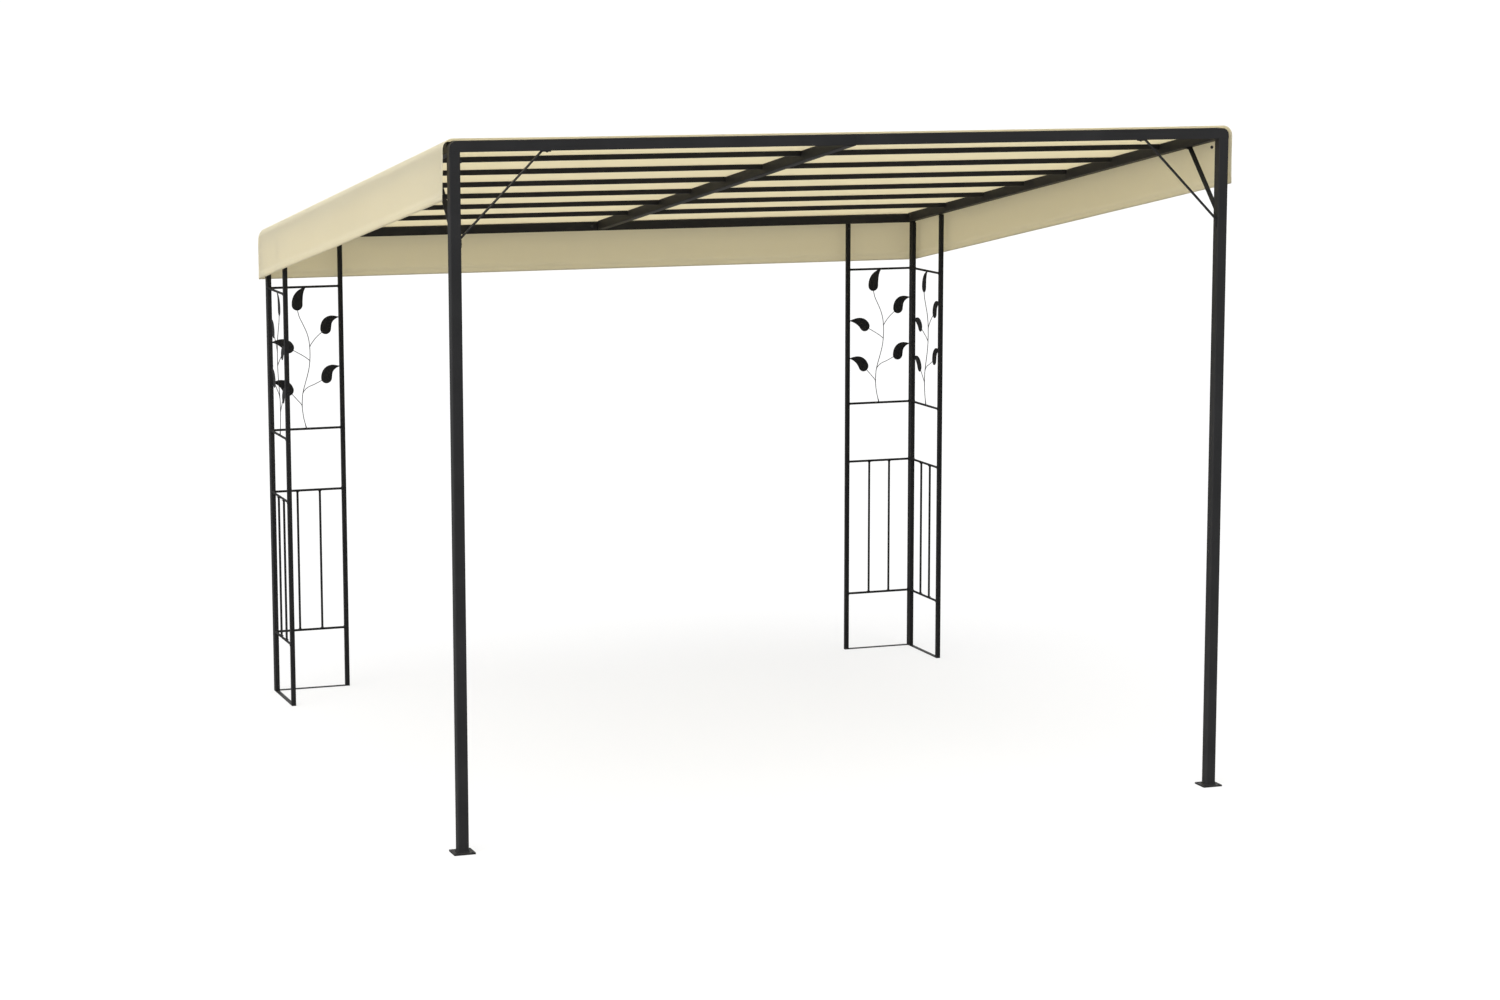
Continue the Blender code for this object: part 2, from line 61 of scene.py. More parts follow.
PANEL, ROD = 0.310, 0.010
INNER = PANEL - SMALL
RUNG_1, RUNG_2, RUNG_3, RUNG_4 = 1.728, 1.124, 0.8606, 0.2566
BAR_1, BAR_2 = 0.108, 0.205
WIRE = 0.0032
LEAF_THICK, LEAF_HEAD = 0.0020, 0.0236
COLUMN_X = POST_X + H - S
SIDE_CORNER_Y = REAR_Y - SMALL - GAP
SIDE_FRONT_Y = SIDE_CORNER_Y - PANEL

CLOTH = 0.0012
TOP_OUTER = 0.008  # outer face of the cloth above the roof line
CANOPY_FRONT, CANOPY_REAR = -1.4695, 1.5030
CANOPY_HALF, EDGE_R = 1.500, 0.037
REAR_REACH = 0.017
VALANCE_DROP = 0.2045
HEM = 0.022


def roof(y):
    return FRONT_TOP - SLOPE * (y - FRONT_Y)


# -------------------------------------------------------------- materials
def nodes_of(mat):
    mat.use_nodes = True
    tree = mat.node_tree
    tree.nodes.clear()
    return tree, tree.nodes, tree.links


def math_node(nodes, links, kind, a, b=None):
    n = nodes.new("ShaderNodeMath")
    n.operation = kind
    for i, v in enumerate((a, b)):
        if v is None:
            continue
        if isinstance(v, (int, float)):
            n.inputs[i].default_value = v
        else:
            links.new(v, n.inputs[i])
    return n.outputs[0]


def noise_node(nodes, links, vector, scale, detail=3.0, rough=0.5):
    n = nodes.new("ShaderNodeTexNoise")
    n.inputs["Scale"].default_value = scale
    n.inputs["Detail"].default_value = detail
    n.inputs["Roughness"].default_value = rough
    links.new(vector, n.inputs["Vector"])
    return n.outputs["Fac"]


def ramp(nodes, links, fac, stops):
    n = nodes.new("ShaderNodeValToRGB")
    cr = n.color_ramp
    while len(cr.elements) < len(stops):
        cr.elements.new(0.5)
    for e, (pos, col) in zip(cr.elements, stops):
        e.position = pos
        e.color = (*col, 1.0)
    links.new(fac, n.inputs["Fac"])
    return n.outputs["Color"]


def span(nodes, links, fac, low, high):
    n = nodes.new("ShaderNodeMapRange")
    n.inputs["From Min"].default_value = 0.25
    n.inputs["From Max"].default_value = 0.75
    n.inputs["To Min"].default_value = low
    n.inputs["To Max"].default_value = high
    links.new(fac, n.inputs["Value"])
    return n.outputs["Result"]


def powder_coat(name, dark, light, rough=(0.46, 0.60), level=0.12, painted_top_light=0.0):
    """Black polyester powder coat: fine grain, slightly mottled, satin."""
    mat = bpy.data.materials.new(name)
    tree, nodes, links = nodes_of(mat)
    out = nodes.new("ShaderNodeOutputMaterial")
    bsdf = nodes.new("ShaderNodeBsdfPrincipled")
    coords = nodes.new("ShaderNodeTexCoord").outputs["Object"]
    broad = noise_node(nodes, links, coords, 6.0, 3.0, 0.55)
    fine = noise_node(nodes, links, coords, 420.0, 2.0, 0.6)
    grain = noise_node(nodes, links, coords, 1500.0, 1.0, 0.5)
    mixed = math_node(nodes, links, "ADD",
                      math_node(nodes, links, "MULTIPLY", broad, 0.6),
                      math_node(nodes, links, "MULTIPLY", fine, 0.4))
    colour = ramp(nodes, links, mixed, [(0.30, dark), (0.70, light)])
    if painted_top_light:
        # painted light on faces that look up: they are mixed towards a lighter warm grey in broad patches, so
        # the tops read lighter as if light falls on them
        geo = nodes.new("ShaderNodeNewGeometry")
        sep = nodes.new("ShaderNodeSeparateXYZ")
        links.new(geo.outputs["Normal"], sep.inputs[0])
        up = math_node(nodes, links, "MAXIMUM", sep.outputs["Z"], 0.0)
        painted_top_light_mask = math_node(nodes, links, "MULTIPLY", up,
                           math_node(nodes, links, "MULTIPLY", broad, painted_top_light))
        mix = nodes.new("ShaderNodeMix")
        mix.data_type = "RGBA"
        links.new(painted_top_light_mask, mix.inputs["Factor"])
        links.new(colour, mix.inputs["A"])
        # the lighter warm grey painted on upward faces as light on the tops
        mix.inputs["B"].default_value = (0.16, 0.15, 0.13, 1.0)
        colour = mix.outputs["Result"]
    links.new(colour, bsdf.inputs["Base Color"])
    links.new(span(nodes, links, mixed, *rough), bsdf.inputs["Roughness"])
    bsdf.inputs["Metallic"].default_value = 0.0
    bsdf.inputs["Specular IOR Level"].default_value = level
    height = math_node(nodes, links, "ADD",
                       math_node(nodes, links, "MULTIPLY", fine, 0.7),
                       math_node(nodes, links, "MULTIPLY", grain, 0.3))
    bump = nodes.new("ShaderNodeBump")
    bump.inputs["Strength"].default_value = 0.35
    bump.inputs["Distance"].default_value = 0.00025
    links.new(height, bump.inputs["Height"])
    links.new(bump.outputs["Normal"], bsdf.inputs["Normal"])
    links.new(bsdf.outputs[0], out.inputs["Surface"])
    return mat


def fabric(name, colour, deep, through, share, weave=True):
    """Woven polyester canopy cloth: plain weave, streaks along the yarn, and
    some light let through."""
    mat = bpy.data.materials.new(name)
    tree, nodes, links = nodes_of(mat)
    out = nodes.new("ShaderNodeOutputMaterial")
    bsdf = nodes.new("ShaderNodeBsdfPrincipled")
    coords = nodes.new("ShaderNodeTexCoord").outputs["Object"]
    sep = nodes.new("ShaderNodeSeparateXYZ")
    links.new(coords, sep.inputs[0])

    def stretched(sx, sy, sz):
        m = nodes.new("ShaderNodeMapping")
        m.inputs["Scale"].default_value = (sx, sy, sz)
        links.new(coords, m.inputs["Vector"])
        return m.outputs["Vector"]

    cloud = noise_node(nodes, links, coords, 2.2, 4.0, 0.55)
    along = noise_node(nodes, links, stretched(1.2, 60.0, 60.0), 1.0, 3.0, 0.6)
    across = noise_node(nodes, links, stretched(60.0, 1.5, 6.0), 1.0, 2.0, 0.5)
    slub = noise_node(nodes, links, stretched(90.0, 700.0, 700.0), 1.0, 1.0, 0.5)
    total = math_node(nodes, links, "ADD",
                      math_node(nodes, links, "MULTIPLY", cloud, 0.45),
                      math_node(nodes, links, "ADD",
                                math_node(nodes, links, "MULTIPLY", along, 0.25),
                                math_node(nodes, links, "ADD",
                                          math_node(nodes, links, "MULTIPLY", across, 0.15),
                                          math_node(nodes, links, "MULTIPLY", slub, 0.15))))
    base = ramp(nodes, links, total, [(0.36, deep), (0.64, colour)])
    links.new(base, bsdf.inputs["Base Color"])
    links.new(span(nodes, links, slub, 0.80, 0.95), bsdf.inputs["Roughness"])
    bsdf.inputs["Specular IOR Level"].default_value = 0.18
    bsdf.inputs["Sheen Weight"].default_value = 0.12
    bsdf.inputs["Sheen Roughness"].default_value = 0.5
    if weave:
        # 1.1 mm yarns over and under: x with the in-plane direction, which is
        # y on the roof and z on the valances
        pitch = 2 * math.pi / 0.0022
        second = math_node(nodes, links, "ADD", sep.outputs["Y"], sep.outputs["Z"])
        wa = math_node(nodes, links, "SINE",
                       math_node(nodes, links, "MULTIPLY", sep.outputs["X"], pitch))
        wb = math_node(nodes, links, "SINE",
                       math_node(nodes, links, "MULTIPLY", second, pitch))
        product = math_node(nodes, links, "MULTIPLY", wa, wb)
        height = math_node(nodes, links, "ADD",
                           math_node(nodes, links, "MULTIPLY", product, 0.5),
                           math_node(nodes, links, "MULTIPLY", slub, 0.8))
        bump = nodes.new("ShaderNodeBump")
        bump.inputs["Strength"].default_value = 0.30
        bump.inputs["Distance"].default_value = 0.0003
        links.new(height, bump.inputs["Height"])
        links.new(bump.outputs["Normal"], bsdf.inputs["Normal"])
    glow = nodes.new("ShaderNodeBsdfTranslucent")
    glow.inputs["Color"].default_value = (*through, 1.0)
    mix = nodes.new("ShaderNodeMixShader")
    mix.inputs[0].default_value = share
    links.new(bsdf.outputs[0], mix.inputs[1])
    links.new(glow.outputs[0], mix.inputs[2])
    links.new(mix.outputs[0], out.inputs["Surface"])
    return mat


STEEL = powder_coat("frame_powder_coat", (0.0200, 0.0200, 0.0207), (0.0305, 0.0305, 0.0316))
# the foot parts get painted top light: their upward faces are made lighter
FOOT = powder_coat("foot_powder_coat", (0.0150, 0.0150, 0.0155), (0.0235, 0.0235, 0.0242), painted_top_light=0.10)
WIREWORK = powder_coat("trellis_powder_coat", (0.0140, 0.0140, 0.0146), (0.0225, 0.0225, 0.0234))
LEAF_COAT = powder_coat("leaf_powder_coat", (0.0135, 0.0135, 0.0141), (0.0220, 0.0220, 0.0228),
                        rough=(0.50, 0.64))
SCREW = powder_coat("screw_black_zinc", (0.012, 0.012, 0.013), (0.024, 0.024, 0.026),
                    rough=(0.30, 0.42), level=0.5)
CANVAS = fabric("canopy_polyester", (0.925, 0.888, 0.742), (0.897, 0.855, 0.702),
                (1.0, 0.940, 0.755), 0.60)
THREAD = fabric("canopy_thread", (0.86, 0.81, 0.64), (0.80, 0.75, 0.57),
                (0.90, 0.84, 0.62), 0.15, weave=False)


def add(name, bm, mat, smooth=35.0):
    bmesh.ops.recalc_face_normals(bm, faces=bm.faces)
    mesh = bpy.data.meshes.new(name)
    bm.to_mesh(mesh)
    bm.free()
    obj = bpy.data.objects.new(name, mesh)
    bpy.context.scene.collection.objects.link(obj)
    mesh.materials.append(mat)
    mesh.shade_smooth()
    if smooth is not None:
        mesh.set_sharp_from_angle(angle=math.radians(smooth))
    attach(obj, "root")
    return obj


# ------------------------------------------------------------ canopy sheet
def profile_x(count_flat, count_arc):
    """Half of the section across: distance along the cloth, x, drop, normal."""
    out = []
    flat = CANOPY_HALF - EDGE_R
    for i in range(count_flat + 1):
        out.append((flat * i / count_flat, 0.0, 0.0, 1.0))
    for k in range(1, count_arc + 1):
        t = math.pi / 2 * k / count_arc
        out.append((flat + EDGE_R * math.sin(t), -EDGE_R * (1 - math.cos(t)),
                    math.sin(t), math.cos(t)))
    return out


def profile_y(count_flat, count_arc):
    """Section from the front edge down the slope and round the rear bend."""
    out = []
    bend = CANOPY_REAR - REAR_REACH
    top = roof(bend)
    for i in range(count_flat + 1):
        y = CANOPY_FRONT + (bend - CANOPY_FRONT) * i / count_flat
        out.append((y, roof(y), math.sin(FALL), math.cos(FALL)))
    radius = REAR_REACH / (1 - math.sin(FALL))
    cy = CANOPY_REAR - radius
    cz = top - radius * math.cos(FALL)
    for k in range(1, count_arc + 1):
        t = FALL + (math.pi / 2 - FALL) * k / count_arc
        out.append((cy + radius * math.sin(t), cz + radius * math.cos(t),
                    math.sin(t), math.cos(t)))
    return out


def soft_noise(x, y, z, seed):
    return noise.noise(Vector((x + seed * 7.3, y - seed * 3.1, z + seed * 1.7)))


def top_sag(x, y):
    """How far the cloth lies below its own straight line, in metres: it hangs
    a little between the side beams, and a little more in each bay."""
    u = min(1.0, abs(x) / (CANOPY_HALF - EDGE_R))
    side = max(0.0, 1.0 - u ** 5)
    half = math.sin(math.pi * min(1.0, u * 1.0)) ** 2  # between rafter and beam
    bay = (y - FRONT_Y - PURLIN_FIRST) / PURLIN_STEP
    first = FRONT_Y + PURLIN_FIRST
    last = first + PURLIN_STEP * (PURLIN_LINES - 1)
    if y < first:
        w = math.sin(math.pi * max(0.0, (y - FRONT_Y) / PURLIN_FIRST)) ** 2
    elif y > last:
        w = math.sin(math.pi * min(1.0, (y - last) / (REAR_Y - last))) ** 2
    else:
        w = math.sin(math.pi * (bay - math.floor(bay))) ** 2
    fade = min(1.0, max(0.0, (y - CANOPY_FRONT) / 0.05)) * 0.6 + 0.4
    sag = 0.0042 * side * fade
    sag += 0.0046 * w * half * side
    wave = soft_noise(x * 1.1, y * 5.0, 0.0, 1) * 0.0011 + soft_noise(x * 3.0, y * 14.0, 0.0, 2) * 0.0005
    return sag - wave * side * (0.35 + 0.65 * w) - 0.0004 * side


def ripple(p, along, w):
    """Outward push of a hanging valance: soft folds that grow to the hem."""
    grow = w * w * (3 - 2 * w)
    a = soft_noise(along * 2.3, 0.0, w * 0.7, 3) * 0.0050
    b = soft_noise(along * 6.5, 1.0, w * 1.3, 4) * 0.0016
    return (a + b) * grow


def canopy():
    across_half = profile_x(84, 10)
    across = [(-x, d, -nx, nz) for x, d, nx, nz in reversed(across_half[1:])] + across_half
    down = profile_y(168, 9)
    hang = 0.1675
    rows = [k / 10 * (1 - HEM / hang) for k in range(11)] + [1 - HEM / hang + 0.004, 0.95, 1.0]
    bm = bmesh.new()
    top = {}
    n, m = len(across), len(down)
    for i, (x, dx, nx, nzx) in enumerate(across):
        for j, (y, z, ny, nz) in enumerate(down):
            lift = TOP_OUTER * (nz if j > m - 10 else 1.0)
            flat = max(0.0, 1 - abs(dx) / 0.012)
            sag = top_sag(x, y) * flat * (1.0 if j <= m - 10 else max(0.0, nz))
            co = Vector((x, y, z + lift + dx - sag))
            top[i, j] = bm.verts.new(co)
    faces = []
    for i in range(n - 1):
        for j in range(m - 1):
            faces.append(bm.faces.new((top[i, j], top[i + 1, j], top[i + 1, j + 1], top[i, j + 1])))

    corner_y = down[-1][0]

    def hang_from(base, out, along, hem_z, ease):
        """A column of vertices from a vertex on the sheet's edge to the hem."""
        column = [base]
        start = base.co.copy()
        for w in rows[1:]:
            push = ripple(start, along, w) * ease
            thick = 0.0007 if w > 1 - HEM / hang else 0.0
            z = start.z + (hem_z - start.z) * w
            column.append(bm.verts.new(Vector((start.x, start.y, z)) + out * (push + thick)))
        return column

    # side valances, then the rear one, sewn together at the corners
    seam = {}
    for i, sx in ((0, -1), (n - 1, 1)):
        columns = []
        for j, (y, z, ny, nz) in enumerate(down):
            near = min(1.0, (corner_y - y) / 0.18)
            ease = 0.75 * near
            out = Vector((sx, 0.0, 0.0))
            hem = roof(min(y, corner_y)) - VALANCE_DROP
            columns.append(hang_from(top[i, j], out, y + sx * 5, hem, ease))
        seam[sx] = columns[-1]
        for a, b in zip(columns, columns[1:]):
            for k in range(len(rows) - 1):
                bm.faces.new((a[k], b[k], b[k + 1], a[k + 1]))
    columns = []
    for i, (x, dx, nx, nzx) in enumerate(across):
        if i == 0:
            columns.append(seam[-1])
        elif i == n - 1:
            columns.append(seam[1])
        else:
            near = min(1.0, (CANOPY_HALF - abs(x)) / 0.18)
            columns.append(hang_from(
                top[i, m - 1], Vector((0, 1, 0)), x + 20, roof(corner_y) - VALANCE_DROP, 0.75 * near
            ))
    for a, b in zip(columns, columns[1:]):
        for k in range(len(rows) - 1):
            bm.faces.new((a[k], b[k], b[k + 1], a[k + 1]))
    # the sewn corners are not knife sharp
    bm.normal_update()
    for sx in (-1, 1):
        for v in seam[sx][1:]:
            v.co += Vector((-sx, -1.0, 0.0)) * 0.0022
    bmesh.ops.recalc_face_normals(bm, faces=bm.faces)
    centre_face = min(bm.faces, key=lambda f: (f.calc_center_median() - Vector((0, 0, LEVEL))).length)
    if centre_face.normal.z < 0:
        bmesh.ops.reverse_faces(bm, faces=bm.faces)
    area = sum(f.calc_area() for f in bm.faces)
    mesh = bpy.data.meshes.new("canopy_cloth")
    bm.to_mesh(mesh)
    bm.free()
    obj = bpy.data.objects.new("canopy_cloth", mesh)
    bpy.context.scene.collection.objects.link(obj)
    mesh.materials.append(CANVAS)
    mesh.shade_smooth()
    shell = obj.modifiers.new("thickness", "SOLIDIFY")
    shell.thickness = CLOTH
    shell.offset = -1.0
    shell.use_even_offset = True
    shell.use_rim = True
    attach(obj, "root")
    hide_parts("canopy_top", "valance_left", "valance_right", "valance_rear")
    return obj, area


CANOPY, CANOPY_AREA = canopy()


def outer_point(side, s, w):
    """Point on a hanging valance near its hem: side is left, right or rear."""
    if side == "rear":
        z0 = roof(CANOPY_REAR - REAR_REACH) - 0.014
        hem = roof(CANOPY_REAR) - VALANCE_DROP
        near = min(1.0, (CANOPY_HALF - abs(s)) / 0.18)
        push = ripple(None, s + 20, w) * 0.75 * near
        return Vector((s, CANOPY_REAR + push, z0 + (hem - z0) * w)), Vector((0, 1, 0))
    sx = -1 if side == "left" else 1
    z0 = roof(s) + TOP_OUTER - EDGE_R
    hem = roof(s) - VALANCE_DROP
    near = min(1.0, (CANOPY_REAR - s) / 0.18)
    push = ripple(None, s + sx * 5, w) * 0.75 * near
    return Vector((sx * (CANOPY_HALF + push), s, z0 + (hem - z0) * w)), Vector((sx, 0, 0))


def stitches():
    """One row of lockstitches along each hem: short raised threads."""
    bm = bmesh.new()
    pitch, length, half = 0.0060, 0.0042, 0.00035
    row = 1 - (HEM - 0.003) / 0.1675
    runs = [("left", CANOPY_FRONT + 0.02, CANOPY_REAR - 0.03),
            ("right", CANOPY_FRONT + 0.02, CANOPY_REAR - 0.03),
            ("rear", -CANOPY_HALF + 0.02, CANOPY_HALF - 0.02)]
    for side, a, b in runs:
        count = int((b - a) / pitch)
        for k in range(count):
            s = a + pitch * k
            p, out = outer_point(side, s, row)
            q, _ = outer_point(side, s + length, row)
            p += out * 0.0008
            q += out * 0.0008
            mid = (p + q) / 2 + out * 0.0003
            up = Vector((0, 0, 1)) * half
            ring = [p, mid + up, q, mid - up]
            top = bm.verts.new(mid + out * 0.0003)
            low = bm.verts.new(mid - out * 0.0006)
            vs = [bm.verts.new(c) for c in ring]
            for i in range(4):
                bm.faces.new((vs[i], vs[(i + 1) % 4], top))
                bm.faces.new((vs[(i + 1) % 4], vs[i], low))
    return add("canopy_hem_stitches", bm, THREAD, None)


STITCH = stitches()


# ------------------------------------------------------------- trellis work
def frame_of(direction):
    d = direction.normalized()
    side = d.orthogonal().normalized()
    return d, side, d.cross(side)


def sweep(bm, points, radii, segments=12, caps=True):
    """Round bar along points, with a radius at each."""
    pts = [Vector(p) for p in points]
    tangents = [
        (pts[min(i + 1, len(pts) - 1)] - pts[max(i - 1, 0)]).normalized() for i in range(len(pts))
    ]
    _, side, _ = frame_of(tangents[0])
    rings = []
    for p, t, r in zip(pts, tangents, radii):
        side = (side - t * side.dot(t)).normalized()
        other = t.cross(side)
        rings.append([
            bm.verts.new(p + (side * math.cos(a) + other * math.sin(a)) * r)
            for a in (2 * math.pi * k / segments for k in range(segments))
        ])
    for a, b in zip(rings, rings[1:]):
        for k in range(segments):
            q = (k + 1) % segments
            bm.faces.new((a[k], a[q], b[q], b[k]))
    if caps:
        bm.faces.new(list(reversed(rings[0])))
        bm.faces.new(rings[-1])


def weld_end(start, inward, radius):
    """Profile of a rod's end: a weld fillet that runs out on to the rod."""
    steps = [(0.0, 2.1), (0.0006, 1.75), (0.0014, 1.42), (0.0026, 1.16), (0.0042, 1.0)]
    return [(start + inward * d, radius * f) for d, f in steps]


def bar(bm, a, b, radius, segments=20):
    a, b = Vector(a), Vector(b)
    along = (b - a).normalized()
    first = weld_end(a, along, radius)
    last = list(reversed(weld_end(b, -along, radius)))
    path = first + last
    sweep(bm, [p for p, _ in path], [r for _, r in path], segments)


def smooth(points, steps):
    pts = [Vector(p) for p in points]
    pts = [2 * pts[0] - pts[1]] + pts + [2 * pts[-1] - pts[-2]]
    out = []
    for i in range(1, len(pts) - 2):
        a, b, c, d = pts[i - 1:i + 3]
        for k in range(steps):
            t = k / steps
            out.append(
                0.5 * (2 * b + (c - a) * t + (2 * a - 5 * b + 4 * c - d) * t * t
                       + (3 * b - a - 3 * c + d) * t ** 3)
            )
    out.append(pts[-2].copy())
    return out


def leaf(bm, head, turn, tip, place, rows=34, cols=10):
    """Pressed sheet leaf, a curved drop: a round head that runs out into a
    bowed tail. It is a shallow dish with a faint crease on its midrib, and its
    two faces meet in a rolled edge. head, turn and tip are the midrib's
    control points in panel coordinates."""
    head, turn, tip = Vector(head), Vector(turn), Vector(tip)

    def mid(t):
        return head * (1 - t) ** 2 + turn * 2 * t * (1 - t) + tip * t * t

    def way(t):
        return ((turn - head) * (1 - t) + (tip - turn) * t).normalized()

    stations = []
    caps = 9
    for k in range(caps):  # the round end
        a = math.pi / 2 * (0.10 + 0.90 * k / caps)
        d = way(0.0)
        stations.append((head - d * LEAF_HEAD * math.cos(a), d, LEAF_HEAD * math.sin(a)))
    for k in range(rows - caps + 1):
        t = (k / (rows - caps)) ** 0.92
        half = LEAF_HEAD * max(0.0, 1 - t ** 2.2) ** 1.2 + 0.0018 * t
        stations.append((mid(t), way(t), half))
    front, back = [], []
    for c, d, h in stations:
        right = Vector((d.y, -d.x))
        line_f, line_b = [], []
        for q in range(cols + 1):
            s = -1 + 2 * q / cols
            p = c + right * (h * s)
            wide = h / LEAF_HEAD
            dish = 0.0017 * wide * (1 - s * s) - 0.0006 * wide * max(0.0, 1 - abs(s) * 4)
            half = LEAF_THICK / 2 * math.sqrt(max(0.0, 1 - abs(s) ** 6))
            line_f.append((p, dish + half))
            line_b.append((p, dish - half))
        front.append(line_f)
        back.append(line_b)
    grid_f, grid_b = [], []
    for lf, lb in zip(front, back):
        vf = [bm.verts.new(place(p.x, p.y, d)) for p, d in lf]
        vb = [vf[0]] + [bm.verts.new(place(p.x, p.y, d)) for p, d in lb[1:-1]] + [vf[-1]]
        grid_f.append(vf)
        grid_b.append(vb)
    for r in range(len(stations) - 1):
        for q in range(cols):
            bm.faces.new((grid_f[r][q], grid_f[r][q + 1], grid_f[r + 1][q + 1], grid_f[r + 1][q]))
            bm.faces.new((grid_b[r][q + 1], grid_b[r][q], grid_b[r + 1][q], grid_b[r + 1][q + 1]))
    for f_row, b_row in ((grid_f[0], grid_b[0]), (grid_f[-1], grid_b[-1])):
        loop = f_row + list(reversed(b_row[1:-1]))
        bm.faces.new(loop)


STEM = [
    (0.1445, 0.604), (0.133, 0.558), (0.1275, 0.512), (0.129, 0.468), (0.1335, 0.441),
    (0.1435, 0.406), (0.154, 0.370), (0.161, 0.338), (0.1648, 0.300), (0.1648, 0.262),
    (0.161, 0.225), (0.152, 0.192), (0.137, 0.158), (0.122, 0.126), (0.1145, 0.106),
]
BRANCHES = [
    [(0.1645, 0.256), (0.170, 0.245), (0.184, 0.226), (0.199, 0.210), (0.219, 0.194)],
    [(0.1645, 0.318), (0.161, 0.311), (0.140, 0.295), (0.115, 0.280), (0.093, 0.270)],
    [(0.1325, 0.449), (0.138, 0.440), (0.155, 0.426), (0.181, 0.4155), (0.217, 0.402)],
    [(0.1275, 0.512), (0.124, 0.499), (0.109, 0.4815), (0.092, 0.4625), (0.082, 0.451)],
]
LEAVES = [  # head, turn and tip of each midrib; y down
    ((0.1140, 0.0755), (0.1130, 0.0290), (0.1508, 0.0010)),
    ((0.2348, 0.1800), (0.2365, 0.1325), (INNER - 0.0012, 0.1318)),
    ((0.2348, 0.3898), (0.2365, 0.3423), (INNER - 0.0012, 0.3416)),
    ((0.0738, 0.2560), (0.0570, 0.2275), (0.0012, 0.2300)),
    ((0.0690, 0.4370), (0.0540, 0.4000), (0.0012, 0.3998)),
]


def panel(tag, origin, right):
    origin, right = Vector(origin), Vector(right)
    up = Vector((0, 0, 1))
    out = right.cross(up)

    def place(x, y, depth=0.0):
        return origin + right * x + up * (RUNG_1 + y) + out * depth

    def rung(bm, z):
        bar(bm, origin + right * GAP + up * z, origin + right * (INNER - GAP) + up * z, ROD / 2)

    bm = bmesh.new()
    rung(bm, RUNG_1)
    rung(bm, RUNG_2)

    def root(which, last):
        """Where a wire ends, just inside the round end of its leaf."""
        head = Vector((LEAVES[which][0][0], -LEAVES[which][0][1], 0))
        last = Vector((last[0], -last[1], 0))
        return head + (last - head).normalized() * LEAF_HEAD * 0.86

    stem = smooth([(x, -y, 0) for x, y in STEM[:-1]] + [root(0, STEM[-1])], 6)
    count = len(stem)
    radii = [WIRE / 2 * (1.9 - 0.9 * min(1.0, k / 3)) if k < 3 else WIRE / 2 for k in range(count)]
    sweep(bm, [place(p.x, p.y) for p in stem], radii, 10)
    for branch, which in zip(BRANCHES, (1, 3, 2, 4)):
        points = smooth([(x, -y, 0) for x, y in branch[:-1]] + [root(which, branch[-2])], 5)
        radii = [WIRE / 2 * (1.25 if k == 0 else 0.94) for k in range(len(points))]
        sweep(bm, [place(p.x, p.y) for p in points], radii, 10)
    spray = add(f"{tag}_spray", bm, WIREWORK, 50)
    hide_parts(f"{tag}_leaf_spray")

    bm = bmesh.new()
    for head, turn, tip in LEAVES:
        leaf(bm, (head[0], -head[1]), (turn[0], -turn[1]), (tip[0], -tip[1]), place)
    add(f"{tag}_leaves", bm, LEAF_COAT, 55)

    bm = bmesh.new()
    rung(bm, RUNG_3)
    rung(bm, RUNG_4)
    for x in (BAR_1 - S, BAR_2 - S):
        a = origin + right * x + up * (RUNG_4 + ROD * 0.42)
        b = origin + right * x + up * (RUNG_3 - ROD * 0.42)
        bar(bm, a, b, ROD / 2 * 0.97)
    grille = add(f"{tag}_bars", bm, WIREWORK, 50)
    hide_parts(f"{tag}_grille")


for side, sx in (("left", -1), ("right", 1)):
    corner, free = sx * COLUMN_X, sx * (COLUMN_X - PANEL)
    panel(f"rear_panel_{side}", (min(corner, free) + S, REAR_Y, 0), (1, 0, 0))
panel("side_panel_left", (-COLUMN_X, SIDE_FRONT_Y + S, 0), (0, 1, 0))
panel("side_panel_right", (COLUMN_X, SIDE_CORNER_Y - S, 0), (0, -1, 0))


# ------------------------------------------------- screws, brace tabs and welds
def screw(bm, at, axis, radius=0.0055, height=0.0028):
    """Dome head with a hexagon recess on a thin washer. axis points out."""
    axis, side, other = frame_of(Vector(axis))
    at = Vector(at)
    rings = [(0.0, radius * 1.35), (0.0007, radius * 1.35), (0.0008, radius)]
    for k in range(1, 6):
        a = math.pi / 2 * k / 6
        rings.append((0.0008 + height * math.sin(a), radius * math.cos(a) * 0.98))
    segments = 24
    loops = []
    for d, r in rings:
        loops.append([
            bm.verts.new(at + axis * d + (side * math.cos(t) + other * math.sin(t)) * r)
            for t in (2 * math.pi * k / segments for k in range(segments))
        ])
    for a, b in zip(loops, loops[1:]):
        for k in range(segments):
            q = (k + 1) % segments
            bm.faces.new((a[k], a[q], b[q], b[k]))
    bm.faces.new(list(reversed(loops[0])))
    # recess
    top = loops[-1]
    low = [v.co - axis * 0.0014 for v in top]
    sunk = []
    for k, c in enumerate(low):
        t = 2 * math.pi * k / segments
        r = (c - (at + axis * (c - at).dot(axis))).length
        hexa = r * 0.95 * math.cos(math.pi / 6) / math.cos((t % (math.pi / 3)) - math.pi / 6)
        centre = at + axis * (c - at).dot(axis)
        sunk.append(bm.verts.new(centre + (side * math.cos(t) + other * math.sin(t)) * min(hexa, r * 0.98)))
    for k in range(segments):
        q = (k + 1) % segments
        bm.faces.new((top[k], top[q], sunk[q], sunk[k]))
    bm.faces.new(sunk)


